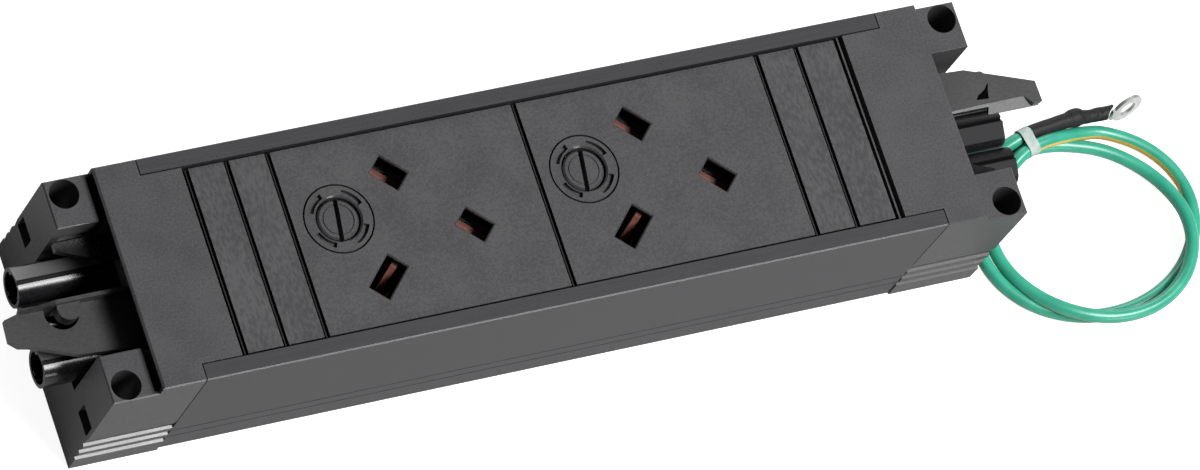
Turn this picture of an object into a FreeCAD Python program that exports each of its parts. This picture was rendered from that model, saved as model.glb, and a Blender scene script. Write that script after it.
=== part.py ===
import FreeCAD, Part
import math
import os

# In-desk power outlet module: an extruded channel closed by two end caps, filled with two
# three-pin sockets and four blank strips, a latching connector at each end, an earth lead.
# Millimetres. Origin under the middle of the body, +X along it, +Y to the far side, +Z up.

V = FreeCAD.Vector

# Body and extruded channel
body_half_width = 26.4
body_height = 41.5
channel_half_length = 90.8
channel_wall = 2.0
rail_inner = 22.7
rail_underside = 38.4
seat_rib_inner = 22.8
seat_rib = (33.6, 34.8)
edge_bevel = 0.3
foot_bevel = 0.5
seam_gap = 0.25
side_groove_heights = (7.1, 10.9)
side_groove_depth = 0.8
side_groove_half_height = 0.22

# End caps; the left one is drawn, the right one is the same part turned half round
cap_face_inner = 81.1
cap_face_half_width = 22.4
cap_face_outer = 101.0
cap_face_lip = 0.7
cap_face_undercut = 1.6
cap_end = 111.9
end_rib = (79.8, 80.2)
ear_top = 38.5
ear_inner = 15.1
ear_hole = (107.8, 22.75)
ear_hole_radius = 3.45
nut_slot_y = (19.6, 25.4)
nut_slot_z = (16.4, 21.4)
nut_slot_depth = 7.9
riser_slot_width = 0.95
riser_slot_outer = 25.6
riser_slot_bottom = 27.0
face_edge_bevel = (0.5, 0.3)
ear_edge_bevel = (0.3, 0.3)
ear_inner_bevel = 0.2
latch_groove_z = (30.6, 33.2)
latch_groove_depth = 1.4
latch_groove_inset = 2.1
sill_height = 18.2
sill_thickness = 2.5
sill_tube_gap = 0.2
bay_floor = 3.0
bay_back = 97.5
back_wall = 2.0
cap_face_underside = 38.6
ledge_heights = (5.5, 9.3, 13.1)
ledge_depth = 0.55
ledge_rise = 0.25
ledge_step = 0.1
ledge_slants = (2.2, 2.2, 3.9)
plug_outer = 24.2
plug_inner = 22.2
plug_bottom = 2.2
plug_floor = 4.6
plug_wall_top = 33.3
boss_x = 86.0
boss_y = 17.0
boss_radius = 3.5
boss_top = 12.0

# Screws from below
screw_radius = 1.4
screw_hole_radius = 1.45
screw_head_radius = 2.8
screw_head_height = 1.4
screw_tip = 10.0
screw_clearance = 0.2
screw_drive = (0.9, 0.9)

# Inserts: the edges between neighbours along X, cap to cap
insert_edges = (-80.35, -70.7, -60.9, -1.2, 59.1, 69.1, 79.3)
insert_gap = 0.6
insert_half_width = 22.05
insert_top = 40.8
insert_underside = rail_underside
skirt_inner = 21.4
lip_outer = 23.9
lip = (34.9, 38.1)
line_rib = 0.3
line_rib_drop = 0.7
line_width = 0.4
line_depth = 1.8

# Sockets: the pin pattern stands turned on the face plate
pattern_turn = 45.0
pattern_offset = (26.4, -3.6)
pin_reach = 11.115
flat_pin_slot = (4.9, 7.3)
earth_pin_slot = (9.2, 5.2)
slot_bevel = 0.3
slot_lip = 1.0
slot_pocket_margin = 1.2
back_margin = 2.4
back_half_width = 21.2
back_wall_side = 0.9
back_wall_end = 1.5
back_bottom = 9.4
back_floor = 10.9
carrier_top = 32.7
flat_carrier = (5.0, 6.0)
flat_pocket = (3.4, 4.4)
earth_carrier = (6.0, 5.0)
earth_pocket = (5.0, 3.4)
leaf_inner = 1.9
leaf_thickness = 0.6
leaf_top = 31.0
flat_leaf_half = 3.2
earth_leaf_half = 4.0
tail_radius = 1.2
tail_clearance = 0.2

# Shutter, drawn in the pattern's own directions
shutter_plate = (32.9, 34.4)
shutter_u = (8.5, 13.45)
shutter_v = (7.3, 14.85)
shutter_bar_u = (5.2, 8.5)
shutter_arm_half = 1.5
ramp_u = (-12.1, -7.1)
ramp_low = 31.6
ramp_high = 38.1
ramp_half = 0.7
ramp_back_u = -5.5
ramp_notch_gap = 0.3
spring_u = (8.6, 19.3)
spring_z = 33.7
spring_radius = 1.3
spring_wire = 0.22
spring_turns = 7
spring_post = ((19.4, 21.2), 2.5, 35.6)

# Fuse
fuse_offset = (-14.7, 7.5)
fuse_ring_radius = 7.85
fuse_ring_gap = 0.4
fuse_ring_bevel = 0.35
fuse_seat_height = 39.4
fuse_tube_radius = 7.0
fuse_bore_radius = 5.25
fuse_tube_bottom = 12.5
fuse_gap = 0.2
recess_radii = (5.75, 7.0)
recess_sweep = 46.0
recess_depth = 1.0
fuse_cap_radius = 4.8
fuse_cap_z = (34.6, 40.4)
fuse_cap_slot = (1.1, 1.9)
fuse_cap_slot_turn = 8.0
fuse_cap_bevel = 0.4
fuse_cap_line = (3.4, 3.7, 0.25)
fuse_link_radius = 3.15
fuse_body_radius = 2.95
fuse_link_z = (12.4, 37.8)
fuse_foot_gap = 0.2
fuse_ferrule = 6.0
fuse_clip_radii = (3.45, 4.95)
fuse_clip_z = (31.0, 33.0)
fuse_cup_radius = 3.3
fuse_cup_depth = 3.4
tab_half = 1.5
tab_z = (29.4, 30.4)

# Bus bars on their tray
tray_half = (79.0, 16.0)
tray_z = (2.0, 5.0)
bus_z = (5.0, 8.4)
bus_half = 0.6
live_y = pattern_offset[1] + fuse_offset[1]
neutral_y = pattern_offset[1]
earth_y = pattern_offset[1] - pin_reach * math.sqrt(0.5)
bond_screw_x = 66.0

# Connectors
tube_pitch = 9.55
tube_z = 21.8
tube_radius = 4.55
tube_bore = 3.7
tube_end = 119.9
tube_flat = 4.12
tube_flat_turn = -25.0
tube_groove_turn = 8.0
tube_groove = (0.9, 0.6)
key_size = (1.2, 0.7)
key_run = (112.0, 119.7)
key_turns = (60.0, 180.0, 300.0)
key_root = 0.3
connector_block = ((90.4, 95.4), 16.0, (13.5, 36.0))
connector_neck = (14.4, (15.8, 27.8))
connector_gap = 0.1
wing_z = (30.2, 31.8)
wing_outline = ((-95.0, 14.4), (-111.2, 14.4), (-111.2, 12.5), (-101.0, 8.4), (-95.0, 8.4))
wing_opening = ((8.1, 14.7), (29.9, 32.1))
pin_radius = 1.5
sleeve_radius = 2.5
sleeve_bore = 1.6
sleeve_floor = 2.0
contact_tip = 113.0
collar_radius = 3.6
strip_half = 1.0
strip_thickness = 1.2
strip_starts = (88.4, 85.7, 83.0)

# Latch tongues: the left one carries a boss, the right one a hooked hole
tongue_z = (30.2, 31.8)
tongue_outline = ((-90.8, 0.7), (-122.3, 0.7), (-127.5, -0.6), (-127.9, -5.5), (-126.1, -7.2),
                  (-123.7, -7.7), (-113.2, -11.7), (-99.0, -12.6), (-90.8, -12.6))
tongue_wall = 0.9
tongue_wall_top = 34.6
tongue_wall_x = (-99.0, -116.0, -124.0)
tongue_drop = (26.9, -125.8, -115.6)
tongue_boss = ((-112.8, -1.2), 2.8, 33.3)
tongue_window = ((-114.3, -1.4), 4.05, (-117.7, -3.7))
right_tongue_outline = ((90.8, -0.7), (102.5, -0.7), (102.5, 2.8), (115.3, 3.0), (124.2, 3.1),
                        (126.2, 0.9), (128.4, 1.1), (128.3, 6.1), (112.0, 12.0), (99.0, 12.6),
                        (90.8, 12.6))
right_tongue_hook = ((112.6, 4.3), (115.7, 4.1), (116.2, 6.2), (116.9, 8.0), (115.2, 6.3), (113.4, 5.4))
right_tongue_lip = ((3.2, 31.8), (1.0, 29.7), (1.0, 29.3), (3.2, 30.2))
right_tongue_lip_x = (115.3, 128.2)
right_tongue_edge = ((3.0, 31.8), (2.4, 31.2), (2.4, 30.5), (3.0, 30.2))
right_tongue_edge_x = (102.5, 115.3)
tongue_slot_gap = 0.35
tongue_opening = ((-13.2, 1.3), (28.9, 36.6))

# Earth lead
lead_radius = 1.6
lead_y = -8.0
lead_z = 6.5
lead_hole_gap = 0.6
bush_radius = 3.0
bush_flange_radius = 4.0
bush_flange = 0.7
bush_bore = 1.65
lead_points = ((112.6, -8.0, 6.5), (115.4, -8.0, 6.5), (119.0, -7.4, 5.9))
coil_outer = ((143.4, -20.5), (29.5, 24.4))
coil_inner = ((144.2, -21.6), (22.4, 18.8))
coil_height = 6.4
coil_round = 2.0
wrap_x = (135.6, 139.6)
wrap_y = (-3.6, 4.0)
wrap_top = 6.8
wrap_wall = 0.9
shrink_stations = (((139.7, 3.7, 4.8), 1.95), ((145.0, 4.8, 4.6), 2.0), ((149.5, 5.3, 4.4), 2.35),
                   ((154.0, 5.0, 4.2), 2.1), ((159.0, 4.2, 4.1), 1.85))
ring_centre = (162.7, 4.3, 4.2)
ring_radius = 4.1
ring_hole = 2.15
ring_thickness = 0.8
ring_neck = (-4.6, 1.7)
ring_roll = 78.0
ring_yaw = 13.0


def box(x, y, z):
    """Box between the low and high values of x, y and z."""
    return Part.makeBox(x[1] - x[0], y[1] - y[0], z[1] - z[0], V(x[0], y[0], z[0]))


def block(x, half_width, z):
    """Box set evenly about the plane y = 0."""
    return box(x, (-half_width, half_width), z)


def post(centre, radius, z):
    """Upright cylinder."""
    return Part.makeCylinder(radius, z[1] - z[0], V(centre[0], centre[1], z[0]))


def rod(x, y, z, radius):
    """Cylinder along X."""
    return Part.makeCylinder(radius, x[1] - x[0], V(x[0], y, z), V(1, 0, 0))


def prism_along_x(outline, x):
    """Solid of a closed (y, z) outline."""
    points = [V(x[0], y, z) for y, z in outline]
    return Part.Face(Part.makePolygon(points + points[:1])).extrude(V(x[1] - x[0], 0, 0))


def prism_along_y(outline, y):
    """Solid of a closed (x, z) outline."""
    points = [V(x, y[0], z) for x, z in outline]
    return Part.Face(Part.makePolygon(points + points[:1])).extrude(V(0, y[1] - y[0], 0))


def prism_up(outline, z):
    """Solid of a closed (x, y) outline."""
    points = [V(x, y, z[0]) for x, y in outline]
    return Part.Face(Part.makePolygon(points + points[:1])).extrude(V(0, 0, z[1] - z[0]))


def join(*shapes):
    """One solid out of touching shapes."""
    return shapes[0].multiFuse(list(shapes[1:])).removeSplitter()


def turned(shape, degrees, about=V(0, 0, 0), axis=V(0, 0, 1)):
    """Copy turned about an axis."""
    return shape.rotated(about, axis, degrees)


def other_end(shape):
    """Copy turned half round, from the left end to the right end."""
    return turned(shape, 180.0)


def flipped(shape):
    """Mirror image across the middle plane x = 0."""
    return shape.mirror(V(0, 0, 0), V(1, 0, 0))


def mirrored_outline(half):
    """Full (y, z) outline out of its y >= 0 half."""
    return list(half) + [(-y, z) for y, z in reversed(half) if y > 0]


def save(name, shape):
    """Write one node and print what it holds."""
    shape.exportStep("parts/" + name + ".step")
    print("%-24s solids %d valid %s volume %.1f" % (name, len(shape.Solids), shape.isValid(), shape.Volume))


def channel_section():
    """Outline of the extruded channel."""
    wall_inner = body_half_width - channel_wall
    groove_inner = body_half_width - side_groove_depth
    half = [(0, 0), (body_half_width - foot_bevel, 0), (body_half_width, foot_bevel)]
    for height in side_groove_heights:
        low = height - side_groove_half_height
        high = height + side_groove_half_height
        half += [(body_half_width, low), (groove_inner, low), (groove_inner, high), (body_half_width, high)]
    half += [(body_half_width, body_height - edge_bevel), (body_half_width - edge_bevel, body_height)]
    half += [(rail_inner, body_height), (rail_inner, rail_underside), (wall_inner, rail_underside)]
    half += [(wall_inner, seat_rib[1]), (seat_rib_inner, seat_rib[1])]
    half += [(seat_rib_inner, seat_rib[0]), (wall_inner, seat_rib[0])]
    half += [(wall_inner, channel_wall), (0, channel_wall)]
    return mirrored_outline(half)


def countersunk_hole(centre, depth):
    """Cutter for a countersunk hole from the underside."""
    shank = screw_radius + screw_clearance
    head = screw_head_radius + screw_clearance
    cone = Part.makeCone(head, shank, screw_head_height, V(centre[0], centre[1], 0))
    return join(cone, post(centre, shank, (0, depth)))


def countersunk_screw(centre, tip):
    """Screw with its head flush with the underside."""
    cone = Part.makeCone(screw_head_radius, screw_radius, screw_head_height, V(centre[0], centre[1], 0))
    recess = post(centre, screw_drive[0], (0, screw_drive[1]))
    return join(cone, post(centre, screw_radius, (0, tip))).cut(recess)


def boss_centres():
    """The four screw places."""
    return [(sx * boss_x, sy * boss_y) for sx in (-1, 1) for sy in (-1, 1)]


def make_channel():
    """Extruded channel with its screw holes."""
    end = channel_half_length - seam_gap
    shape = prism_along_x(channel_section(), (-end, end))
    for centre in boss_centres() + [(bond_screw_x, earth_y)]:
        shape = shape.cut(countersunk_hole(centre, channel_wall))
    return shape


def cap_section(top):
    """Outline of an end cap: sides that step out below each sloping ledge, a bevelled edge on top."""
    side = body_half_width + ledge_step * len(ledge_heights)
    half = [(0, 0), (side, 0)]
    for height, slant in zip(ledge_heights, ledge_slants):
        half.append((side, height))
        side -= ledge_step
        half += [(side - ledge_depth, height + ledge_rise), (side, height + slant)]
    half += [(body_half_width, top - edge_bevel), (body_half_width - edge_bevel, top), (0, top)]
    return mirrored_outline(half)


def edge_cutter(x, z, bevel):
    """Cutter for the bevel of a left-hand upper edge across the body."""
    corners = ((x, z), (x + bevel[0], z), (x, z - bevel[1]))
    return prism_along_y(corners, (-body_half_width, body_half_width))


def make_left_cap():
    """End cap: raised face, two ears, open bay, and the plug that enters the channel."""
    main = prism_along_x(cap_section(body_height), (-cap_face_outer, -channel_half_length))
    ears = prism_along_x(cap_section(ear_top), (-cap_end, -cap_face_outer))
    back_inner = bay_back - back_wall
    bay_top = body_height + 1
    sill_inner = cap_end - sill_thickness
    ears = ears.cut(block((-cap_end, -sill_inner), ear_inner, (sill_height, bay_top)))
    ears = ears.cut(block((-sill_inner, -cap_face_outer), ear_inner, (bay_floor, bay_top)))
    for row in (-1, 0, 1):
        ears = ears.cut(rod((-cap_end, -sill_inner), row * tube_pitch, tube_z, tube_radius + sill_tube_gap))
    main = main.cut(block((-cap_face_outer, -bay_back), ear_inner, (bay_floor, cap_face_underside)))
    main = main.cut(block((-back_inner, -channel_half_length), plug_inner, (plug_floor, cap_face_underside)))
    plug_x = (-channel_half_length, -cap_face_inner)
    face = block(plug_x, cap_face_half_width, (cap_face_underside, body_height))
    plug = block(plug_x, plug_outer, (plug_bottom, plug_wall_top))
    plug = plug.cut(block(plug_x, plug_inner, (plug_floor, plug_wall_top)))
    shape = join(main, ears, face, plug)
    for centre in boss_centres():
        if centre[0] < 0:
            shape = join(shape, post(centre, boss_radius, (plug_bottom, boss_top)))
            shape = shape.cut(post(centre, screw_hole_radius, (plug_bottom, boss_top)))
    for side in (-1, 1):
        hole = (-ear_hole[0], side * ear_hole[1])
        shape = shape.cut(post(hole, ear_hole_radius, (nut_slot_z[0], ear_top)))
        slot_y = sorted(side * y for y in nut_slot_y)
        shape = shape.cut(box((-cap_end, nut_slot_depth - cap_end), slot_y, nut_slot_z))
        edge = ((side * ear_inner, ear_top), (side * (ear_inner + ear_inner_bevel), ear_top),
                (side * ear_inner, ear_top - ear_inner_bevel))
        shape = shape.cut(prism_along_x(edge, (-cap_end, -cap_face_outer)))
    riser_x = (-cap_face_outer - riser_slot_width, cap_face_undercut - cap_face_outer)
    shape = shape.cut(block(riser_x, riser_slot_outer, (riser_slot_bottom, body_height - cap_face_lip)))
    groove_y = (ear_inner, ear_inner + latch_groove_depth)
    shape = shape.cut(box((latch_groove_inset - cap_end, -cap_face_outer), groove_y, latch_groove_z))
    neck_half, neck_z = connector_neck
    gap_z = (neck_z[0] - connector_gap, neck_z[1] + connector_gap)
    shape = shape.cut(block((-bay_back, -back_inner), neck_half + connector_gap, gap_z))
    for opening_y, opening_z in (tongue_opening, wing_opening):
        shape = shape.cut(box((-bay_back, -back_inner), opening_y, opening_z))
    shape = shape.cut(edge_cutter(-cap_face_outer, body_height, face_edge_bevel))
    return shape.cut(edge_cutter(-cap_end, ear_top, ear_edge_bevel))


def make_right_cap(left_cap):
    """The same cap turned half round, with a rib along its face and the earth lead's holes."""
    rib_top = body_height - line_rib_drop
    rib = block((end_rib[0], cap_face_inner), cap_face_half_width, (cap_face_underside, rib_top))
    line = (end_rib[1], cap_face_inner)
    rib = rib.cut(block(line, cap_face_half_width, (body_height - line_depth, body_height)))
    shape = join(other_end(left_cap), rib)
    shape = shape.cut(rod((cap_end - sill_thickness, cap_end), lead_y, lead_z, bush_radius))
    return shape.cut(rod((bay_back - back_wall, bay_back), lead_y, lead_z, lead_radius + lead_hole_gap))


def insert_blank(start, end):
    """Face plate between two edges with the skirts and lips that hold it under the rails."""
    x = (start + insert_gap / 2, end - insert_gap / 2)
    shape = block(x, insert_half_width, (insert_underside, insert_top))
    for side in (-1, 1):
        skirt_y = sorted(side * y for y in (skirt_inner, insert_half_width))
        lip_y = sorted(side * y for y in (skirt_inner, lip_outer))
        skirt = box(x, skirt_y, (lip[0], insert_underside))
        shape = join(shape, skirt, box(x, lip_y, lip))
    rib = (x[0], x[0] + line_rib)
    line = (rib[1], rib[1] + line_width)
    shape = shape.cut(block(rib, insert_half_width, (insert_top - line_rib_drop, insert_top)))
    return shape.cut(block(line, insert_half_width, (insert_top - line_depth, insert_top)))


def in_pattern(shape, start):
    """Place a shape drawn in the pin pattern's own directions on the socket that starts there."""
    moved = turned(shape, pattern_turn)
    moved.translate(V(start + pattern_offset[0], pattern_offset[1], 0))
    return moved


def fuse_centre(start):
    """Middle of a socket's fuse."""
    return (start + pattern_offset[0] + fuse_offset[0], pattern_offset[1] + fuse_offset[1])


# Places of the three pins in the pattern's own directions
live_pin = (pin_reach, pin_reach)
neutral_pin = (pin_reach, -pin_reach)
earth_pin = (-pin_reach, 0)


def about(centre, half, z):
    """Upright box about a centre."""
    x = (centre[0] - half[0], centre[0] + half[0])
    y = (centre[1] - half[1], centre[1] + half[1])
    return box(x, y, z)


def slot_cutter(centre, size):
    """Cutter of one pin slot with its bevelled mouth and the wider pocket behind its lip."""
    half = (size[0] / 2, size[1] / 2)
    straight = about(centre, half, (insert_underside - 1, insert_top + 1))
    mouth = []
    for grow, z in ((0, insert_top - slot_bevel), (slot_bevel, insert_top)):
        corners = []
        for sx, sy in ((-1, -1), (1, -1), (1, 1), (-1, 1)):
            corners.append(V(centre[0] + sx * (half[0] + grow), centre[1] + sy * (half[1] + grow), z))
        mouth.append(Part.makePolygon(corners + corners[:1]))
    wide = (half[0] + slot_pocket_margin, half[1] + slot_pocket_margin)
    pocket = about(centre, wide, (insert_underside - 1, insert_top - slot_lip))
    return join(straight, pocket, Part.makeLoft(mouth, True, True))


def make_socket_face(start, end):
    """Face plate with three pin slots and the stepped hole of the fuse holder."""
    shape = insert_blank(start, end)
    slots = ((live_pin, flat_pin_slot), (neutral_pin, flat_pin_slot), (earth_pin, earth_pin_slot))
    for centre, size in slots:
        shape = shape.cut(in_pattern(slot_cutter(centre, size), start))
    hole = fuse_centre(start)
    shape = shape.cut(post(hole, fuse_tube_radius + fuse_gap, (insert_underside, insert_top)))
    return shape.cut(post(hole, fuse_ring_radius + fuse_ring_gap, (fuse_seat_height, insert_top)))


def live_tab(start, grow):
    """Strip from the fuse clip to the live contact, grown all round for use as a cutter."""
    fuse_x, fuse_y = fuse_offset
    centre_u = (fuse_x + fuse_y) * math.sqrt(0.5)
    centre_v = (fuse_y - fuse_x) * math.sqrt(0.5)
    reach_u = live_pin[0] - leaf_inner - leaf_thickness
    v = (live_pin[1] - tab_half - grow, live_pin[1] + tab_half + grow)
    z = (tab_z[0] - grow, tab_z[1] + grow)
    along_u = box((centre_u - tab_half - grow, reach_u), v, z)
    along_v = box((centre_u - tab_half - grow, centre_u + tab_half + grow), (v[0], centre_v), z)
    return in_pattern(join(along_u, along_v), start)


def make_socket_back(start, end):
    """Tray behind a face plate with the carriers of the three contacts."""
    x = (start + back_margin, end - back_margin)
    inner_x = (x[0] + back_wall_end, x[1] - back_wall_end)
    shape = block(x, back_half_width, (back_bottom, insert_underside))
    shape = shape.cut(block(inner_x, back_half_width - back_wall_side, (back_floor, insert_underside)))
    carriers = ((live_pin, flat_carrier, flat_pocket), (neutral_pin, flat_carrier, flat_pocket),
                (earth_pin, earth_carrier, earth_pocket))
    for centre, outside, pocket in carriers:
        carrier = about(centre, outside, (back_bottom, carrier_top))
        carrier = carrier.cut(about(centre, pocket, (back_floor, carrier_top)))
        shape = join(shape, in_pattern(carrier, start))
    notch_u = (earth_pin[0] + earth_pocket[0], earth_pin[0] + earth_carrier[0])
    notch = block(notch_u, ramp_half + ramp_notch_gap, (ramp_low - ramp_notch_gap, carrier_top))
    shape = shape.cut(in_pattern(notch, start))
    post_u, post_half, post_top = spring_post
    shape = join(shape, in_pattern(block(post_u, post_half, (back_bottom, post_top)), start))
    for centre in (neutral_pin, earth_pin):
        hole = post(centre, tail_radius + tail_clearance, (back_bottom, back_floor))
        shape = shape.cut(in_pattern(hole, start))
    shape = shape.cut(post(fuse_centre(start), tail_radius + tail_clearance, (back_bottom, back_floor)))
    return shape.cut(live_tab(start, tail_clearance))


def make_contact(centre, leaf_half, across_u, with_tail, start):
    """Sprung contact: two leaves on a base, with a tail down to its bus bar."""
    reach = leaf_inner + leaf_thickness
    half = (reach, leaf_half) if across_u else (leaf_half, reach)
    hollow = (leaf_inner, leaf_half) if across_u else (leaf_half, leaf_inner)
    shape = about(centre, half, (back_floor, leaf_top))
    shape = shape.cut(about(centre, hollow, (back_floor + leaf_thickness, leaf_top)))
    if with_tail:
        shape = join(shape, post(centre, tail_radius, (bus_z[1], back_floor)))
    return in_pattern(shape, start)


def make_shutter(start):
    """Sliding shutter: two plates under the flat slots, a cross bar, an arm and the earth pin's ramp."""
    parts = [box(shutter_bar_u, (-shutter_v[1], shutter_v[1]), shutter_plate)]
    for side in (-1, 1):
        v = sorted(side * value for value in shutter_v)
        parts.append(box(shutter_u, v, shutter_plate))
    parts.append(block((ramp_back_u, shutter_bar_u[0]), shutter_arm_half, shutter_plate))
    ramp = ((ramp_u[0], ramp_low), (ramp_u[1], ramp_high), (ramp_back_u, ramp_high), (ramp_back_u, ramp_low))
    parts.append(prism_along_y(ramp, (-ramp_half, ramp_half)))
    return in_pattern(join(*parts), start)


def make_spring(start):
    """Coil spring behind the shutter's cross bar."""
    length = spring_u[1] - spring_u[0] - 2 * spring_wire
    helix = Part.makeHelix(length / spring_turns, length, spring_radius)
    section = Part.Wire(Part.makeCircle(spring_wire, V(spring_radius, 0, 0), V(0, 1, 0)))
    coil = Part.Wire(helix).makePipeShell([section], True, True)
    coil.rotate(V(0, 0, 0), V(0, 1, 0), 90)
    coil.translate(V(spring_u[0] + spring_wire, 0, spring_z))
    return in_pattern(coil, start)


def make_fuse_holder(start):
    """Ring flush with the face plate, with four arc recesses, on the tube that holds the fuse."""
    centre = fuse_centre(start)
    shape = join(post(centre, fuse_ring_radius, (fuse_seat_height, insert_top)),
                 post(centre, fuse_tube_radius, (fuse_tube_bottom, fuse_seat_height)))
    shape = shape.cut(post(centre, fuse_bore_radius, (fuse_tube_bottom, insert_top)))
    rim = V(centre[0], centre[1], insert_top - fuse_ring_bevel)
    rim_radius = fuse_bore_radius + fuse_ring_bevel
    shape = shape.cut(Part.makeCone(fuse_bore_radius, rim_radius, fuse_ring_bevel, rim))
    for quarter in range(4):
        arc = []
        for radius in recess_radii:
            base = V(centre[0], centre[1], insert_top - recess_depth)
            arc.append(Part.makeCylinder(radius, recess_depth, base, V(0, 0, 1), recess_sweep))
        recess = arc[1].cut(arc[0])
        middle = 45.0 + 90.0 * quarter
        shape = shape.cut(turned(recess, middle - recess_sweep / 2, V(centre[0], centre[1], 0)))
    return shape.cut(live_tab(start, tail_clearance))


def make_fuse_cap(start):
    """Round cap with a screwdriver slot on top and a cup for the fuse below."""
    centre = fuse_centre(start)
    shape = post(centre, fuse_cap_radius, fuse_cap_z)
    round_edges = [edge for edge in shape.Edges if len(edge.Vertexes) == 1]
    top_edge = max(round_edges, key=lambda edge: edge.Vertexes[0].Z)
    shape = shape.makeChamfer(fuse_cap_bevel, [top_edge])
    width, depth = fuse_cap_slot
    slot = about(centre, (width / 2, fuse_cap_radius), (fuse_cap_z[1] - depth, fuse_cap_z[1]))
    shape = shape.cut(turned(slot, -fuse_cap_slot_turn, V(centre[0], centre[1], 0)))
    inner, outer, line_deep = fuse_cap_line
    line_z = (fuse_cap_z[1] - line_deep, fuse_cap_z[1])
    shape = shape.cut(post(centre, outer, line_z).cut(post(centre, inner, line_z)))
    return shape.cut(post(centre, fuse_cup_radius, (fuse_cap_z[0], fuse_cap_z[0] + fuse_cup_depth)))


def make_fuse_link(start):
    """Cartridge fuse: a ceramic barrel between two ferrules."""
    centre = fuse_centre(start)
    low, high = fuse_link_z
    return join(post(centre, fuse_body_radius, fuse_link_z),
                post(centre, fuse_link_radius, (low, low + fuse_ferrule)),
                post(centre, fuse_link_radius, (high - fuse_ferrule, high)))


def make_fuse_clip(start):
    """Ring round the fuse's upper ferrule with the strip that feeds the live contact."""
    centre = fuse_centre(start)
    ring = post(centre, fuse_clip_radii[1], (tab_z[0], fuse_clip_z[1]))
    return join(ring, live_tab(start, 0)).cut(post(centre, fuse_clip_radii[0], (tab_z[0], fuse_clip_z[1])))


def make_fuse_foot(start):
    """Contact under the fuse, down to the live bus bar."""
    centre = fuse_centre(start)
    return join(post(centre, fuse_link_radius, (back_floor, fuse_link_z[0] - fuse_foot_gap)),
                post(centre, tail_radius, (bus_z[1], back_floor)))


def make_connector():
    """Left connector: block, neck, a fixed wing and three keyed tubes; the tongue's slot is in the block."""
    block_x, half, block_z = connector_block
    neck_half, neck_z = connector_neck
    slot_y = (tongue_outline[-1][1] - tongue_slot_gap, tongue_outline[0][1] + tongue_slot_gap)
    slot_z = (tongue_z[0] - tongue_slot_gap, tongue_z[1] + tongue_slot_gap)
    shape = block((-block_x[1], -block_x[0]), half, block_z)
    shape = shape.cut(box((-block_x[1], -block_x[0]), slot_y, slot_z))
    shape = join(shape, block((-bay_back, -block_x[1]), neck_half, neck_z), prism_up(wing_outline, wing_z))
    width, depth = tube_groove
    for row in (-1, 0, 1):
        y = row * tube_pitch
        axis = V(0, y, tube_z)
        tube = rod((-tube_end, -bay_back), y, tube_z, tube_radius)
        flat = box((-tube_end, -bay_back), (y - tube_radius, y + tube_radius),
                   (tube_z + tube_flat, tube_z + tube_radius))
        tube = tube.cut(turned(flat, tube_flat_turn, axis, V(1, 0, 0)))
        groove = box((-tube_end, -bay_back), (y - width / 2, y + width / 2),
                     (tube_z + tube_radius - depth, tube_z + tube_radius))
        tube = tube.cut(turned(groove, tube_groove_turn, axis, V(1, 0, 0)))
        shape = join(shape, tube).cut(rod((-tube_end, -block_x[0]), y, tube_z, tube_bore))
        for turn in key_turns:
            key = box((-key_run[1], -key_run[0]), (y - key_size[0] / 2, y + key_size[0] / 2),
                      (tube_z + tube_bore - key_size[1], tube_z + tube_bore + key_root))
            shape = join(shape, turned(key, turn, axis, V(1, 0, 0)))
    return shape


def make_connector_contact(y, bus_y, start, hollow):
    """Left contact: pin or sleeve in its tube, then a strip down and across to the end of its bus bar."""
    strip_x = (-start - strip_thickness, -start)
    block_x = connector_block[0]
    shape = join(rod((-contact_tip, strip_x[1]), y, tube_z, pin_radius),
                 rod((-block_x[1], -block_x[0]), y, tube_z, collar_radius))
    if hollow:
        shape = join(shape, rod((-contact_tip, -block_x[1]), y, tube_z, sleeve_radius))
        shape = shape.cut(rod((-contact_tip, -block_x[1] - sleeve_floor), y, tube_z, sleeve_bore))
    across = sorted((y, bus_y))
    down = box(strip_x, (y - strip_half, y + strip_half), (bus_z[0], tube_z))
    foot = box(strip_x, (across[0] - bus_half, across[1] + bus_half), bus_z)
    return join(shape, down, foot)


def make_left_tongue():
    """Left latch tongue: plate with a side wall, a hanging lug, and a round boss beside a window."""
    plate = prism_up(tongue_outline, tongue_z)
    straight = tongue_outline[0][1]
    wall_y = (straight - tongue_wall, straight)
    root, shoulder, tip = tongue_wall_x
    wall = prism_along_y(((root, tongue_z[0]), (root, tongue_wall_top), (shoulder, tongue_wall_top),
                          (tip, tongue_z[1]), (tip, tongue_z[0])), wall_y)
    wall = wall.common(prism_up(tongue_outline, (tongue_z[0], tongue_wall_top)))
    bottom, lug_tip, lug_root = tongue_drop
    lug = box((lug_tip, lug_root), wall_y, (bottom, tongue_z[0]))
    lug = lug.common(prism_up(tongue_outline, (bottom, tongue_z[0])))
    centre, radius, corner = tongue_window
    plate = plate.cut(post(centre, radius, tongue_z))
    plate = plate.cut(box((corner[0], centre[0]), (corner[1], straight), tongue_z))
    centre, radius, top = tongue_boss
    boss_x = (centre[0] - radius, centre[0] + radius)
    boss_z = (tongue_z[0], top)
    boss = post(centre, radius, boss_z).common(box(boss_x, (centre[1] - radius, straight), boss_z))
    return join(plate, wall, lug, boss)


def make_right_tongue():
    """Right latch tongue: plate with a hooked hole and a sloping lip along its near edge, narrow at first."""
    plate = prism_up(right_tongue_outline, tongue_z).cut(prism_up(right_tongue_hook, tongue_z))
    edge = prism_along_x(right_tongue_edge, right_tongue_edge_x)
    return join(plate, edge, prism_along_x(right_tongue_lip, right_tongue_lip_x))


def fillet_radius(points, index):
    """Bend radius at a corner of a route, and the half turn there."""
    before = points[index] - points[index - 1]
    after = points[index + 1] - points[index]
    half_turn = before.getAngle(after) / 2
    return 0.45 * min(before.Length, after.Length) / math.tan(half_turn), half_turn


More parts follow.
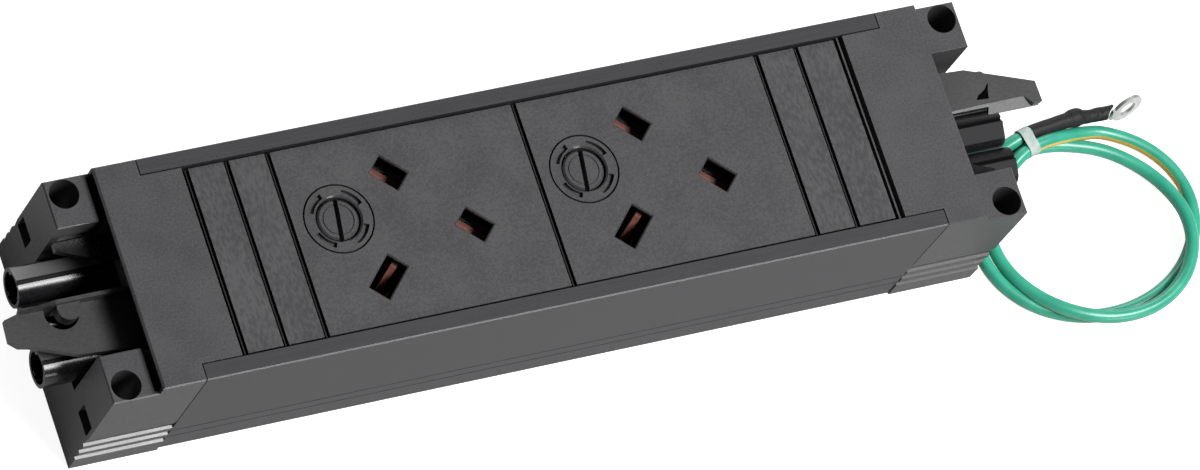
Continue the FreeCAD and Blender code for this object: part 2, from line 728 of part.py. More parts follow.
def make_tube(route, radius):
    """Round tube along straight runs joined by tangent arcs."""
    points = [V(*point) for point in route]
    edges = []
    start = points[0]
    for index in range(1, len(points) - 1):
        bend, half_turn = fillet_radius(points, index)
        print("lead bend radius %.1f" % bend)
        inward = (points[index - 1] - points[index]).normalize()
        outward = (points[index + 1] - points[index]).normalize()
        trim = bend * math.tan(half_turn)
        first = points[index] + inward * trim
        last = points[index] + outward * trim
        middle = points[index] + (inward + outward).normalize() * (bend / math.cos(half_turn) - bend)
        edges.append(Part.makeLine(start, first))
        edges.append(Part.Arc(first, middle, last).toShape())
        start = last
    edges.append(Part.makeLine(start, points[-1]))
    length = sum(edge.Length for edge in edges)
    path = Part.Wire(edges)
    section = Part.Wire(Part.makeCircle(radius, points[0], points[1] - points[0]))
    tube = path.makePipeShell([section], True, False)
    print("lead tube volume %.1f, section times length %.1f" % (tube.Volume, math.pi * radius ** 2 * length))
    return tube


def ellipse_column(centre, radii, z):
    """Upright elliptic cylinder."""
    ellipse = Part.Ellipse(V(centre[0], centre[1], z[0]), radii[0], radii[1])
    return Part.Face(Part.Wire(ellipse.toShape())).extrude(V(0, 0, z[1] - z[0]))


def make_coil():
    """Outer shape of the two loose turns of the lead, waisted where the wrap holds them."""
    z = (0, coil_height)
    shape = ellipse_column(*coil_outer, z).cut(ellipse_column(*coil_inner, z))
    shape = shape.makeChamfer(coil_round, [edge for edge in shape.Edges if len(edge.Vertexes) == 1])
    shape = shape.cut(box(wrap_x, (wrap_y[0] - 2, wrap_y[1] + 2), (0, coil_height)))
    return join(shape, wrap_core())


def wrap_core():
    """What the wrap goes round."""
    return box(wrap_x, (wrap_y[0] + wrap_wall, wrap_y[1] - wrap_wall), (wrap_wall, wrap_top - wrap_wall))


def make_wrap():
    """Band round the strands."""
    return box(wrap_x, wrap_y, (0, wrap_top)).cut(wrap_core())


def make_shrink():
    """Shrink sleeve over the lead's end and the terminal's barrel."""
    points = [V(*centre) for centre, radius in shrink_stations]
    rings = []
    for index, (centre, radius) in enumerate(shrink_stations):
        ahead = points[min(index + 1, len(points) - 1)]
        behind = points[max(index - 1, 0)]
        rings.append(Part.Wire(Part.makeCircle(radius, points[index], ahead - behind)))
    return Part.makeLoft(rings, True, True)


def make_ring_terminal():
    """Ring terminal standing on its edge beyond the sleeve."""
    half = ring_thickness / 2
    shape = join(post((0, 0), ring_radius, (-half, half)),
                 box((ring_neck[0], 0), (-ring_neck[1], ring_neck[1]), (-half, half)))
    shape = shape.cut(post((0, 0), ring_hole, (-half, half)))
    shape = turned(turned(shape, ring_roll, axis=V(1, 0, 0)), ring_yaw)
    shape.translate(V(*ring_centre))
    return shape


os.makedirs("parts", exist_ok=True)
save("channel", make_channel())
left_cap = make_left_cap()
save("end_cap_left", left_cap)
save("end_cap_right", make_right_cap(left_cap))
save("cap_screws", Part.makeCompound([countersunk_screw(centre, screw_tip) for centre in boss_centres()]))
save("bond_screw", countersunk_screw((bond_screw_x, earth_y), bus_z[0]))

blank_starts = [insert_edges[index:index + 2] for index in (0, 1, 4, 5)]
for number, (start, end) in enumerate(blank_starts, 1):
    save("blank_strip_%d" % number, insert_blank(start, end))

tray = block((-tray_half[0], tray_half[0]), tray_half[1], tray_z)
save("bus_tray", tray.cut(post((bond_screw_x, earth_y), screw_radius + screw_clearance, tray_z)))

for number, start, end in ((1, insert_edges[2], insert_edges[3]), (2, insert_edges[3], insert_edges[4])):
    save("socket_face_%d" % number, make_socket_face(start, end))
    save("socket_back_%d" % number, make_socket_back(start, end))
    save("live_contact_%d" % number, make_contact(live_pin, flat_leaf_half, True, False, start))
    save("neutral_contact_%d" % number, make_contact(neutral_pin, flat_leaf_half, True, True, start))
    save("earth_contact_%d" % number, make_contact(earth_pin, earth_leaf_half, False, True, start))
    save("shutter_%d" % number, make_shutter(start))
    save("shutter_spring_%d" % number, make_spring(start))
    save("fuse_holder_%d" % number, make_fuse_holder(start))
    save("fuse_cap_%d" % number, make_fuse_cap(start))
    save("fuse_link_%d" % number, make_fuse_link(start))
    save("fuse_clip_%d" % number, make_fuse_clip(start))
    save("fuse_foot_%d" % number, make_fuse_foot(start))

connector = make_connector()
save("connector_left", connector)
save("connector_right", other_end(connector))
save("tongue_left", make_left_tongue())
save("tongue_right", make_right_tongue())

poles = (("live", tube_pitch, live_y), ("earth", 0.0, earth_y), ("neutral", -tube_pitch, neutral_y))
for (pole, y, bus_y), start in zip(poles, strip_starts):
    save(pole + "_bus", box((-start, start), (bus_y - bus_half, bus_y + bus_half), bus_z))
    save(pole + "_pin", make_connector_contact(y, bus_y, start, False))
    save(pole + "_sleeve", flipped(make_connector_contact(y, bus_y, start, True)))

bush = join(rod((cap_end - sill_thickness, cap_end), lead_y, lead_z, bush_radius),
            rod((cap_end, cap_end + bush_flange), lead_y, lead_z, bush_flange_radius))
bush_x = (cap_end - sill_thickness, cap_end + bush_flange)
save("lead_bush", bush.cut(rod(bush_x, lead_y, lead_z, bush_bore)))
lead_inner_end = strip_starts[1] + strip_thickness
save("lead_inside", rod((lead_inner_end, cap_end + bush_flange), lead_y, lead_z, lead_radius))
save("earth_lead", make_tube(lead_points, lead_radius))
save("earth_coil", make_coil())
save("lead_wrap", make_wrap())
save("heat_shrink", make_shrink())
save("ring_terminal", make_ring_terminal())
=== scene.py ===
# Looks of the power outlet module: finishes, the earth lead with its wrap and sleeve, light and camera.
# Lengths are in metres, in the frame of the part: +X along the body, +Y away from the viewer, +Z up.
import math

import bpy
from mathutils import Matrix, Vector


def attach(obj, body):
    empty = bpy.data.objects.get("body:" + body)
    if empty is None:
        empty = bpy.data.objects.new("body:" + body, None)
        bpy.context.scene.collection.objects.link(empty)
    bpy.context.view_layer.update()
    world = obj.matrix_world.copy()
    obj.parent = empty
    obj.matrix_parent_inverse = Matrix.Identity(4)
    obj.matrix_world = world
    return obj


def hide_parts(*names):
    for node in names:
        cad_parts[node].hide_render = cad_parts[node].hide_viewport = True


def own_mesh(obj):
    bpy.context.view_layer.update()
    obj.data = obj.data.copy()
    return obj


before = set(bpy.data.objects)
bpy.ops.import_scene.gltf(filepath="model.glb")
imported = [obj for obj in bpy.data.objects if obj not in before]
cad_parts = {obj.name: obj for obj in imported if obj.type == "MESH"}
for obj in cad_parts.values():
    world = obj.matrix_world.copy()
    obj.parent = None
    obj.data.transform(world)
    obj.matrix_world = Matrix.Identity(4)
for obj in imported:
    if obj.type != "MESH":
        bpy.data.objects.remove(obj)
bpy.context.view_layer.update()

# Earth lead: out of the end cap, one turn, through the wrap, a second turn, through the wrap to the sleeve
lead_radius = 0.0016
lead_exit = (0.1126, -0.0080, 0.0065)
lead_start = (
    lead_exit,
    (0.1154, -0.0080, 0.0065),
    (0.1190, -0.0074, 0.0059),
    (0.1218, -0.0067, 0.0049),
    (0.1246, -0.0049, 0.0035),
    (0.1280, -0.0021, 0.0019),
    (0.1320, -0.0008, 0.0018),
    (0.1365, -0.0001, 0.0018),
    (0.1410, 0.0000, 0.0016),
)
lead_between_turns = (
    (0.1278, -0.0053, 0.0034),
    (0.1310, -0.0029, 0.0046),
    (0.1344, -0.0011, 0.0049),
    (0.1380, -0.0001, 0.0048),
    (0.1414, 0.0004, 0.0044),
    (0.1446, 0.0007, 0.0036),
    (0.1480, 0.0010, 0.0028),
    (0.1512, 0.0010, 0.0021),
)
lead_end = (
    (0.1246, -0.0029, 0.0019),
    (0.1280, 0.0005, 0.0031),
    (0.1318, 0.0016, 0.0044),
    (0.1356, 0.0026, 0.0049),
    (0.1397, 0.0033, 0.0048),
    (0.1460, 0.0041, 0.0046),
)

# Each turn is a leaning ellipse: middle, half lengths, lean, first and last place on it in degrees
turn_step = 20
first_turn_shape = ((0.14349, -0.02285), (0.02451, 0.02174), -18.6, 100, -200)
second_turn_shape = ((0.14354, -0.02028), (0.02794, 0.02245), 5.3, 60, -220)

# The first turn rides over the second: its rise, and the places where it goes up and comes down
ride_height = 0.0032
ride_up = (60, 5)
ride_down = (-95, -170)

# Sleeve over the crimped barrel of the ring terminal: places and radii, then its bulge, creases and end
sleeve_stations = (
    ((0.1365, 0.0028, 0.0048), 0.00178),
    ((0.1398, 0.0033, 0.0048), 0.00176),
    ((0.1421, 0.0035, 0.0047), 0.00178),
    ((0.1449, 0.0039, 0.0046), 0.00180),
    ((0.1468, 0.0041, 0.0045), 0.00182),
    ((0.1481, 0.0043, 0.0045), 0.00222),
    ((0.1499, 0.0044, 0.0044), 0.00224),
    ((0.1508, 0.0042, 0.0043), 0.00170),
    ((0.1530, 0.0040, 0.0042), 0.00152),
    ((0.1551, 0.0042, 0.0041), 0.00166),
    ((0.1570, 0.0040, 0.0041), 0.00158),
    ((0.1592, 0.0041, 0.0042), 0.00166),
)
sleeve_bulge_station = 6
sleeve_crease_depth = 0.00012
sleeve_end_slant = 0.0022
sleeve_end_reach = 0.0012

# Wrap round the three passes of the lead, and the direction they run there
wrap_strands = ((0.1355, -0.0004, 0.0019), (0.1354, -0.0008, 0.0049), (0.1347, 0.0024, 0.0049))
wrap_along = (0.966, 0.259)
wrap_half_width = 0.0014
wrap_slack = 0.00005
wrap_thickness = 0.0002
wrap_sides = 48
wrap_end_facing = 0.7


def ease(value):
    """Goes smoothly from 0 to 1 as the value does."""
    value = min(1.0, max(0.0, value))
    return value * value * (3 - 2 * value)


class Wire:
    """A shader socket: arithmetic on it adds Math nodes, and make adds any other node."""

    def __init__(self, tree, socket=None):
        self.tree = tree
        self.socket = socket

    def make(self, kind, settings=None, sockets=None, out=0):
        node = self.tree.nodes.new(kind)
        for name, value in (settings or {}).items():
            setattr(node, name, value)
        for name, value in (sockets or {}).items():
            if isinstance(value, Wire):
                self.tree.links.new(value.socket, node.inputs[name])
            else:
                node.inputs[name].default_value = value
        return Wire(self.tree, node.outputs[out] if node.outputs else None)

    def math(self, operation, first, second=0.0):
        return self.make("ShaderNodeMath", {"operation": operation}, {0: first, 1: second})

    def __add__(self, other):
        return self.math("ADD", self, other)

    __radd__ = __add__

    def __sub__(self, other):
        return self.math("SUBTRACT", self, other)

    def __rsub__(self, other):
        return self.math("SUBTRACT", other, self)

    def __mul__(self, other):
        return self.math("MULTIPLY", self, other)

    __rmul__ = __mul__

    def between(self, low, high):
        """Runs from 0 at low to 1 at high, and stays there."""
        return self.make("ShaderNodeMapRange", {"interpolation_type": "SMOOTHSTEP"},
                         {"Value": self, "From Min": low, "From Max": high})

    def band(self, rise, fall):
        """1 from the end of the rise to the start of the fall, and 0 outside them."""
        return self.between(*rise) * (1 - self.between(*fall))

    def blend(self, first, second):
        """The first colour where this is 0, the second where it is 1."""
        return self.make("ShaderNodeMix", {"data_type": "RGBA"}, {0: self, 6: first, 7: second}, 2)


def place(wire):
    """Object coordinates, which stay with the piece."""
    return wire.make("ShaderNodeTexCoord", out="Object")


def noise(wire, size, detail=2.0, roughness=0.5, squeeze=(1.0, 1.0, 1.0)):
    """Clouds whose lumps are about this size, drawn out where an axis is squeezed."""
    at = wire.make("ShaderNodeMapping", None, {"Vector": place(wire), "Scale": squeeze})
    return wire.make("ShaderNodeTexNoise", None, {
        "Vector": at, "Scale": 1 / size, "Detail": detail, "Roughness": roughness})


def bump(wire, height, depth):
    """Normals of a surface that this height lifts by up to the depth."""
    return wire.make("ShaderNodeBump", None, {"Height": height, "Distance": depth, "Strength": 1.0})


def new_material(name, shade):
    """A material whose surface is what the function shade makes."""
    material = bpy.data.materials.new(name)
    material.use_nodes = True
    material.node_tree.nodes.clear()
    wire = Wire(material.node_tree)
    surface = shade(wire)
    wire.make("ShaderNodeOutputMaterial", None, {"Surface": surface})
    return material


def rgb(*colour):
    return (*colour, 1.0)


def normal_part(wire, axis):
    """How far the surface faces along this axis of the piece, from -1 to 1."""
    facing = wire.make("ShaderNodeTexCoord", out="Normal")
    return wire.make("ShaderNodeSeparateXYZ", None, {0: facing}, axis)


def height_of(wire):
    """Height in the frame of the part at rest, in metres."""
    return wire.make("ShaderNodeSeparateXYZ", None, {0: place(wire)}, "Z")


# Upward part of the normal on the steepest and on the flattest bevels, each with its soft edge
steepest_bevel = (0.5, 0.6)
flattest_bevel = (0.988, 0.996)


def sloping(wire):
    """1 on bevels and ledges, which slope by about 9 to 53 degrees, and 0 on level and upright faces."""
    return normal_part(wire, "Z").band(steepest_bevel, flattest_bevel)


# Size of the broad mottling of mouldings
mottle_size = 0.010

# Painted shade in the lines between the faces, over their sunken ribs: the faces' height, and how far
# below it the painted dark is full and begins
insert_height = 0.0408
line_shade_depths = (0.0006, 0.0004)
painted_line_shade = (0.010, 0.010, 0.011)


def moulding(name, dark, light, roughness, grain_size, grain_depth=0.00002, specular=0.5, bevel_gloss=0.52,
             squeeze=(1.0, 1.0, 1.0), face_height=None):
    """Moulded plastic with the fine grain of a spark-eroded mould, smoother on its bevels.

    Where a face height is given, what lies well below it is painted dark, as painted shade over the sunken
    ribs between the faces.
    """
    def shade(wire):
        grain = noise(wire, grain_size, 2.0, 0.6, squeeze)
        broad = noise(wire, mottle_size, 2.0, 0.5, squeeze)
        tint = (0.7 * grain + 0.3 * broad).between(0.35, 0.65)
        colour = tint.blend(rgb(*dark), rgb(*light))
        # Painted shade: darker below the faces' height, for the shade that falls in the lines between them
        if face_height:
            full, begin = [face_height - depth for depth in line_shade_depths]
            colour = height_of(wire).between(full, begin).blend(rgb(*painted_line_shade), colour)
        bevel = sloping(wire)
        return wire.make("ShaderNodeBsdfPrincipled", None, {
            "Base Color": colour,
            "Roughness": roughness - 0.06 + 0.12 * broad - bevel_gloss * roughness * bevel,
            "Specular IOR Level": specular,
            "Normal": bump(wire, grain * (1 - bevel), grain_depth)}, "BSDF")
    return new_material(name, shade)


# Sideways part of the normal on the flat and in the groove of a tube: where each begins and ends; the
# groove is painted near black as painted shade
tube_flat = ((0.36, 0.39), (0.45, 0.48))
tube_groove = ((-0.17, -0.16), (-0.12, -0.11))


def keyed_tubes(name, flat_side, flat_painted_tone, roughness, flat_dulling, specular):
    """Glossy black moulding whose tubes have a flat on the side of this sign, in a painted tone that
    stands in for the light it gets, and a dull groove painted near black as painted shade.
    """
    def shade(wire):
        across = flat_side * normal_part(wire, "Y")
        flat = across.band(*tube_flat)
        groove = across.band(*tube_groove)
        grain = noise(wire, 0.0007, 2.0, 0.6)
        black = grain.between(0.35, 0.65).blend(rgb(0.011, 0.011, 0.012), rgb(0.018, 0.018, 0.020))
        # Painted light: the flat's tone stands in for the light that falls on it, not a finish of its own
        painted_tone_of_flat = grain.blend(rgb(*[0.8 * part for part in flat_painted_tone]), rgb(*flat_painted_tone))
        return wire.make("ShaderNodeBsdfPrincipled", None, {
            # Painted shade: the groove's floor is near black, for the shade that falls in it
            "Base Color": groove.blend(flat.blend(black, painted_tone_of_flat), rgb(0.003, 0.003, 0.003)),
            "Roughness": roughness + 0.04 * grain + flat_dulling * flat + 0.6 * groove,
            "Specular IOR Level": specular,
            "Normal": bump(wire, grain, 0.0000004)}, "BSDF")
    return new_material(name, shade)


def coated_metal(name):
    """Black coated aluminium with faint lines along the extrusion."""
    def shade(wire):
        drawn = noise(wire, 0.0004, 2.0, 0.5, (0.03, 1.0, 1.0))
        grain = noise(wire, 0.0005, 2.0)
        tint = (0.5 * drawn + 0.5 * grain).between(0.3, 0.7)
        bevel = sloping(wire)
        return wire.make("ShaderNodeBsdfPrincipled", None, {
            "Base Color": tint.blend(rgb(0.034, 0.034, 0.037), rgb(0.046, 0.046, 0.050)),
            "Roughness": 0.45 + 0.1 * drawn - 0.28 * bevel,
            "Specular IOR Level": 0.32,
            "Normal": bump(wire, grain * (1 - bevel), 0.00002)}, "BSDF")
    return new_material(name, shade)


def strip_metal(name, colour, worn, roughness):
    """Pressed or turned metal, a little stained."""
    def shade(wire):
        stain = noise(wire, 0.004, 4.0, 0.6)
        fine = noise(wire, 0.0004, 2.0)
        return wire.make("ShaderNodeBsdfPrincipled", None, {
            "Base Color": stain.between(0.35, 0.75).blend(rgb(*colour), rgb(*worn)),
            "Metallic": 1.0,
            "Roughness": roughness - 0.1 + 0.2 * stain,
            "Normal": bump(wire, fine, 0.00001)}, "BSDF")
    return new_material(name, shade)


# Heights between which a fuse is bare ceramic
ceramic_foot = (0.0155, 0.0157)
ceramic_top = (0.0283, 0.0285)


def fuse_body(name):
    """Glazed ceramic tube with plated ends, told apart by height."""
    def shade(wire):
        middle = height_of(wire).band(ceramic_foot, ceramic_top)
        speck = noise(wire, 0.0012, 4.0, 0.7)
        glaze = speck.between(0.3, 0.7).blend(rgb(0.80, 0.77, 0.70), rgb(0.86, 0.84, 0.78))
        return wire.make("ShaderNodeBsdfPrincipled", None, {
            "Base Color": middle.blend(rgb(0.62, 0.61, 0.58), glaze),
            "Metallic": 1 - middle,
            "Roughness": 0.25 + 0.1 * speck}, "BSDF")
    return new_material(name, shade)


# Part of the way round the lead at which the stripe begins and ends
stripe_begin = (0.36, 0.38)
stripe_end = (0.62, 0.64)


def lead_sheath(name, striped):
    """Green insulation, with a yellow stripe along one side of the lead that follows its own UV map."""
    def shade(wire):
        cloud = noise(wire, 0.006, 3.0)
        fine = noise(wire, 0.0006, 2.0)
        green = cloud.between(0.3, 0.7).blend(rgb(0.036, 0.36, 0.235), rgb(0.047, 0.43, 0.280))
        if striped:
            lead_map = wire.make("ShaderNodeUVMap", {"uv_map": "UVMap"})
            around = wire.make("ShaderNodeSeparateXYZ", None, {0: lead_map}, "Y")
            green = around.band(stripe_begin, stripe_end).blend(green, rgb(0.74, 0.47, 0.07))
        return wire.make("ShaderNodeBsdfPrincipled", None, {
            "Base Color": green,
            "Roughness": 0.26 + 0.12 * cloud,
            "Specular IOR Level": 0.60,
            "Normal": bump(wire, fine, 0.000012)}, "BSDF")
    return new_material(name, shade)


def soft_white(name):
    """White wrap, slightly mottled."""
    def shade(wire):
        cloud = noise(wire, 0.0018, 3.0)
        return wire.make("ShaderNodeBsdfPrincipled", None, {
            "Base Color": cloud.between(0.3, 0.7).blend(rgb(0.38, 0.45, 0.42), rgb(0.51, 0.59, 0.56)),
            "Roughness": 0.5 + 0.15 * cloud,
            "Normal": bump(wire, cloud, 0.00015)}, "BSDF")
    return new_material(name, shade)


# Finishes, the first three in the two shades of the body's black
body_dark = (0.048, 0.048, 0.051)
body_light = (0.074, 0.074, 0.077)
plastic = moulding("black_plastic", body_dark, body_light, 0.48, 0.0005, specular=0.32)
face_plastic = moulding("face_plastic", body_dark, body_light, 0.48, 0.0005, specular=0.32,
                        face_height=insert_height)
dull_plastic = moulding("dull_black_plastic", body_dark, body_light, 0.48, 0.0005, specular=0.32,
                        bevel_gloss=0.1)
strip_plastic = moulding("strip_plastic", (0.046, 0.046, 0.049), (0.078, 0.078, 0.081), 0.46, 0.0007,
                         specular=0.34, squeeze=(1.0, 0.45, 1.0), face_height=insert_height)
tongue_plastic = moulding("tongue_plastic", (0.036, 0.036, 0.038), (0.050, 0.050, 0.052), 0.46, 0.0006,
                          specular=0.40, bevel_gloss=0.3, squeeze=(0.6, 1.0, 1.0))
right_tongue_plastic = moulding("right_tongue_plastic", (0.044, 0.044, 0.046), (0.058, 0.058, 0.060), 0.46,
                                0.0006, specular=0.40, bevel_gloss=0.55, squeeze=(0.6, 1.0, 1.0))
# Painted light: the inlet's flats are painted pale and the outlet's near black, for how the light falls on
# each end
inlet_plastic = keyed_tubes("inlet_plastic", flat_side=1, flat_painted_tone=(0.17, 0.17, 0.175),
                            roughness=0.22, flat_dulling=0.2, specular=0.5)
outlet_plastic = keyed_tubes("outlet_plastic", flat_side=-1, flat_painted_tone=(0.014, 0.014, 0.016),
                             roughness=0.32, flat_dulling=0.08, specular=0.12)
inner_plastic = moulding("inner_plastic", (0.12, 0.12, 0.12), (0.16, 0.16, 0.16), 0.55, 0.0008)
shutter_plastic = moulding("shutter_plastic", (0.23, 0.088, 0.068), (0.29, 0.118, 0.090), 0.45, 0.0008)
sleeve_rubber = moulding("sleeve_rubber", (0.010, 0.010, 0.011), (0.018, 0.018, 0.019), 0.58, 0.0009,
                         grain_depth=0.00003, specular=0.30, bevel_gloss=0.0)
channel_metal = coated_metal("coated_metal")
brass = strip_metal("contact_brass", (0.72, 0.55, 0.26), (0.58, 0.41, 0.18), 0.32)
plated_steel = strip_metal("plated_steel", (0.62, 0.62, 0.62), (0.48, 0.47, 0.45), 0.35)
tinned = strip_metal("tinned_metal", (0.74, 0.74, 0.73), (0.64, 0.64, 0.63), 0.48)
ceramic = fuse_body("fuse_ceramic")
sheath = lead_sheath("lead_sheath", striped=True)
inner_sheath = lead_sheath("inner_lead_sheath", striped=False)
wrap_white = soft_white("wrap_white")

finishes = {
    "channel": channel_metal,
    "end_cap_left": plastic,
    "end_cap_right": dull_plastic,
    "blank_strip": strip_plastic,
    "socket_face": face_plastic,
    "fuse_holder": plastic,
    "fuse_cap": plastic,
    "connector_left": inlet_plastic,
    "connector_right": outlet_plastic,
    "tongue": tongue_plastic,
    "tongue_right": right_tongue_plastic,
    "socket_back": inner_plastic,
    "bus_tray": inner_plastic,
    "shutter_spring": plated_steel,
    "shutter": shutter_plastic,
    "cap_screws": plated_steel,
    "bond_screw": plated_steel,
    "fuse_link": ceramic,
    "lead_bush": sleeve_rubber,
    "heat_shrink": sleeve_rubber,
    "lead_inside": inner_sheath,
    "earth_lead": inner_sheath,
    "earth_coil": inner_sheath,
    "lead_wrap": wrap_white,
    "ring_terminal": tinned,
}


def finish_of(node_name):
    """The finish named by the longest start of the node's name, and brass for every contact and bar."""
    starts = [start for start in finishes if node_name.startswith(start)]
    return finishes[max(starts, key=len)] if starts else brass


def set_material(piece, material):
    piece.data.materials.clear()
    piece.data.materials.append(material)


for node_name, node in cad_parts.items():
    set_material(node, finish_of(node_name))

# Each shutter's spring, which shortens towards its post as the shutter slides, gets a mesh of its own
for number in (1, 2):
    spring_name = "shutter_spring_%d" % number
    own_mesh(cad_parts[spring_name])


def as_piece(piece, name, material):
    """Names and finishes a new piece, which rides on the module."""
    piece.name = name
    piece.data.name = name
    set_material(piece, material)
    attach(piece, "module")
    return piece


def add_piece(name, mesh, material):
    """A new piece at the origin with this mesh."""
    piece = bpy.data.objects.new(name, mesh)
    bpy.context.scene.collection.objects.link(piece)
    return as_piece(piece, name, material)


def drawn_line(name, points, tilts=None, radii=None):
    """A smooth open line through the neighbourhood of the points."""
    line = bpy.data.curves.new(name, "CURVE")
    line.dimensions = "3D"
    line.twist_mode = "Z_UP"
    line.resolution_u = 8
    spline = line.splines.new("NURBS")
    spline.points.add(len(points) - 1)
    for index, (point, at) in enumerate(zip(spline.points, points)):
        point.co = (*at, 1.0)
        point.tilt = tilts[index] if tilts else 0.0
        point.radius = radii[index] if radii else 1.0
    spline.order_u = 3
    spline.use_endpoint_u = True
    return line


def mesh_of(line):
    """The mesh that a curve gives as it stands."""
    holder = bpy.data.objects.new(line.name, line)
    bpy.context.scene.collection.objects.link(holder)
    bpy.context.view_layer.update()
    evaluated = holder.evaluated_get(bpy.context.evaluated_depsgraph_get())
    mesh = bpy.data.meshes.new_from_object(evaluated)
    bpy.data.objects.remove(holder)
    return mesh


def smooth(piece, sharpest=50):
    """Smooth shading; edges that turn by more degrees than the sharpest stay, as at the cut ends."""
    bpy.ops.object.select_all(action="DESELECT")
    piece.select_set(True)
    bpy.context.view_layer.objects.active = piece
    bpy.ops.object.shade_smooth_by_angle(angle=math.radians(sharpest))


def turn(shape, height):
    """Points of one clockwise turn, a little outside the line that runs through their neighbourhood."""
    centre, radii, lean, first, last = shape
    reach = 1 / math.cos(math.radians(turn_step / 2))
    tilt = math.radians(lean)
    points = []
    for angle in range(first, last - 1, -turn_step):
        along = reach * radii[0] * math.cos(math.radians(angle))
        across = reach * radii[1] * math.sin(math.radians(angle))
        x = centre[0] + along * math.cos(tilt) - across * math.sin(tilt)
        y = centre[1] + along * math.sin(tilt) + across * math.cos(tilt)
        points.append((x, y, height(angle)))
    return points


def first_turn_height(angle):
    """On the floor at the top and left, riding over the second turn at the right and below."""
    risen = ease((ride_up[0] - angle) / (ride_up[0] - ride_up[1]))
    not_yet_down = ease((angle - ride_down[1]) / (ride_down[0] - ride_down[1]))
    return lead_radius + ride_height * risen * not_yet_down


def second_turn_height(angle):
    """On the floor all the way round."""
    return lead_radius


first_turn = turn(first_turn_shape, first_turn_height)
second_turn = turn(second_turn_shape, second_turn_height)
lead_points = (*lead_start, *first_turn, *lead_between_turns, *second_turn, *lead_end)

# The stripe lies underneath, and comes up on the inner side where the second turn begins
stripe_below = math.radians(90)
stripe_inside = math.radians(-12)
lead_tilts = [stripe_below] * len(lead_points)
stripe_lag = 2
stripe_points = 10
stripe_start = len(lead_start) + len(first_turn) + stripe_lag
for index in range(stripe_start, stripe_start + stripe_points):
    lead_tilts[index] = stripe_inside
lead_line = drawn_line("lead_line", lead_points, lead_tilts)
lead_path = [tuple(vertex.co) for vertex in mesh_of(lead_line).vertices]
lead_line.bevel_depth = lead_radius
lead_line.bevel_resolution = 5
lead_line.use_fill_caps = True
lead = add_piece("earth_lead_coiled", mesh_of(lead_line), sheath)
smooth(lead)
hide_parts("earth_lead", "earth_coil")

sleeve_curve = drawn_line("sleeve_line", [at for at, radius in sleeve_stations], None,
                          [radius for at, radius in sleeve_stations])
sleeve_curve.bevel_depth = 1.0
sleeve_curve.bevel_resolution = 8
sleeve_curve.use_fill_caps = True
sleeve = add_piece("crimp_sleeve", mesh_of(sleeve_curve), sleeve_rubber)
smooth(sleeve)
sleeve_tip = sleeve_stations[-1][0]
sleeve_bulge = sleeve_stations[sleeve_bulge_station][0]


def crease(at):
    """Shallow creases of shrunk tubing, from -1 to 1: two waves that cross."""
    return math.sin(2100 * at.x + 900 * at.y) * math.sin(1500 * at.z + 400 * at.x)


# Creases beyond the bulge, and an end cut on the slant, further back on the near side
for vertex in sleeve.data.vertices:
    if vertex.co.x > sleeve_bulge[0]:
        vertex.co.z += sleeve_crease_depth * crease(vertex.co)
    towards_tip = ease((vertex.co.x - sleeve_bulge[0]) / (sleeve_tip[0] - sleeve_bulge[0]))
    near_side = ease((sleeve_tip[1] + sleeve_end_reach - vertex.co.y) / (2 * sleeve_end_reach))
    vertex.co.x -= sleeve_end_slant * near_side * towards_tip
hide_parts("heat_shrink")


def wrap_band():
    """A thin band drawn tight round the three strands: the hull of three cylinders, with its ends open."""
    heading = math.atan2(wrap_along[1], wrap_along[0])
    bpy.ops.object.select_all(action="DESELECT")
    for number, strand in enumerate(wrap_strands):
        bpy.ops.mesh.primitive_cylinder_add(
            vertices=wrap_sides, radius=lead_radius + wrap_slack, depth=2 * wrap_half_width,
            location=strand, rotation=(0, math.pi / 2, heading))
        if number == 0:
            bpy.ops.object.mode_set(mode="EDIT")
    bpy.ops.mesh.select_all(action="SELECT")
    bpy.ops.mesh.convex_hull()
    bpy.ops.mesh.select_mode(type="FACE")
    bpy.ops.mesh.select_all(action="DESELECT")
    bpy.ops.object.mode_set(mode="OBJECT")
    band = bpy.context.object
    bpy.ops.object.transform_apply(location=True, rotation=True, scale=True)
    for face in band.data.polygons:
        face.select = abs(face.normal.dot(Vector((*wrap_along, 0)))) > wrap_end_facing
    bpy.ops.object.mode_set(mode="EDIT")
    bpy.ops.mesh.delete(type="FACE")
    bpy.ops.object.mode_set(mode="OBJECT")
    wall = band.modifiers.new("wall", "SOLIDIFY")
    wall.thickness = wrap_thickness
    wall.offset = 1.0
    bpy.ops.object.modifier_apply(modifier="wall")
    return band


wrap = as_piece(wrap_band(), "lead_wrap_band", wrap_white)
smooth(wrap)
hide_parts("lead_wrap")


# Glow of the floor to the eye, and the share of it that reflections show
floor_glow = 0.92
floor_share_reflected = 0.2
floor_size = 40
floor_drop = 0.0002
world_strength = 0.05


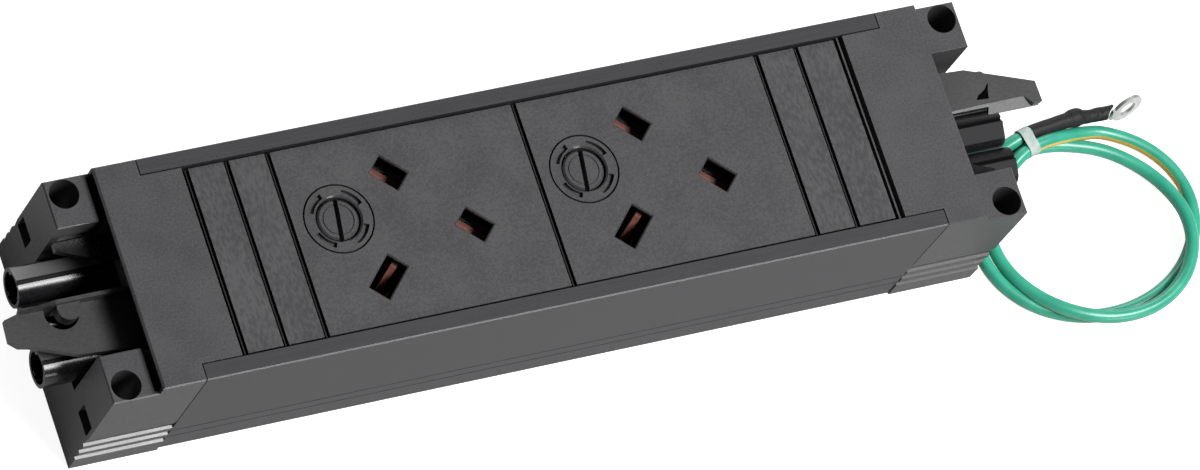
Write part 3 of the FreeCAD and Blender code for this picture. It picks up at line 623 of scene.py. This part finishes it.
def floor_finish(wire):
    """White to the eye, dimmer in reflections, with the shadow of what stands on it."""
    path = wire.make("ShaderNodeLightPath", out="Is Camera Ray")
    glossy = wire.make("ShaderNodeLightPath", out="Is Glossy Ray")
    through = wire.make("ShaderNodeLightPath", out="Is Transmission Ray")
    seen = path + floor_share_reflected * (glossy + through)
    cloud = noise(wire, 0.4, 2.0)
    paper = wire.make("ShaderNodeBsdfDiffuse", None, {
        "Color": cloud.blend(rgb(0.61, 0.61, 0.61), rgb(0.63, 0.63, 0.63))})
    glow = wire.make("ShaderNodeEmission", None, {"Color": rgb(1, 1, 1), "Strength": floor_glow * seen})
    return wire.make("ShaderNodeAddShader", None, {0: paper, 1: glow})


bpy.ops.object.select_all(action="DESELECT")
bpy.ops.mesh.primitive_plane_add(size=floor_size, location=(0, 0, -floor_drop))
floor = bpy.context.object
floor.name = "floor"
set_material(floor, new_material("floor_paper", floor_finish))

world = bpy.data.worlds.new("studio")
bpy.context.scene.world = world
world.use_nodes = True
background = world.node_tree.nodes["Background"]
background.inputs["Color"].default_value = rgb(1.0, 1.0, 1.0)
background.inputs["Strength"].default_value = world_strength


# Lamps: a large one from above, a small one in front and one behind
lamp_target = (0, 0, 0.02)


def softbox(name, at, size, power):
    """A soft lamp of this size, turned to the part."""
    light = bpy.data.lights.new(name, "AREA")
    light.shape = "RECTANGLE"
    light.size = size[0]
    light.size_y = size[1]
    light.energy = power
    box = bpy.data.objects.new(name, light)
    bpy.context.scene.collection.objects.link(box)
    direction = Vector(lamp_target) - Vector(at)
    box.location = at
    box.rotation_euler = direction.to_track_quat("-Z", "Y").to_euler()
    return box


softbox("key_box", (0.79, -0.60, 1.79), (1.20, 0.45), 50)
softbox("front_box", (0.58, -1.32, 0.46), (0.50, 0.16), 4)
softbox("back_box", (0.45, 1.4, 0.58), (1.2, 0.6), 9)

# Camera: its place, its turn in degrees and its lens in millimetres
camera_place = (-0.78799, -0.57928, 1.7993)
camera_turn = (23.335, -17.874, -19.119)
camera_lens = 273.1
camera_data = bpy.data.cameras.new("camera")
camera_data.lens = camera_lens
camera_data.sensor_width = 36.0
camera_data.clip_start = 0.1
camera_data.clip_end = 60.0
camera = bpy.data.objects.new("camera", camera_data)
bpy.context.scene.collection.objects.link(camera)
camera.location = camera_place
camera.rotation_euler = [math.radians(angle) for angle in camera_turn]
bpy.context.scene.camera = camera
bpy.context.scene.view_settings.view_transform = "Standard"
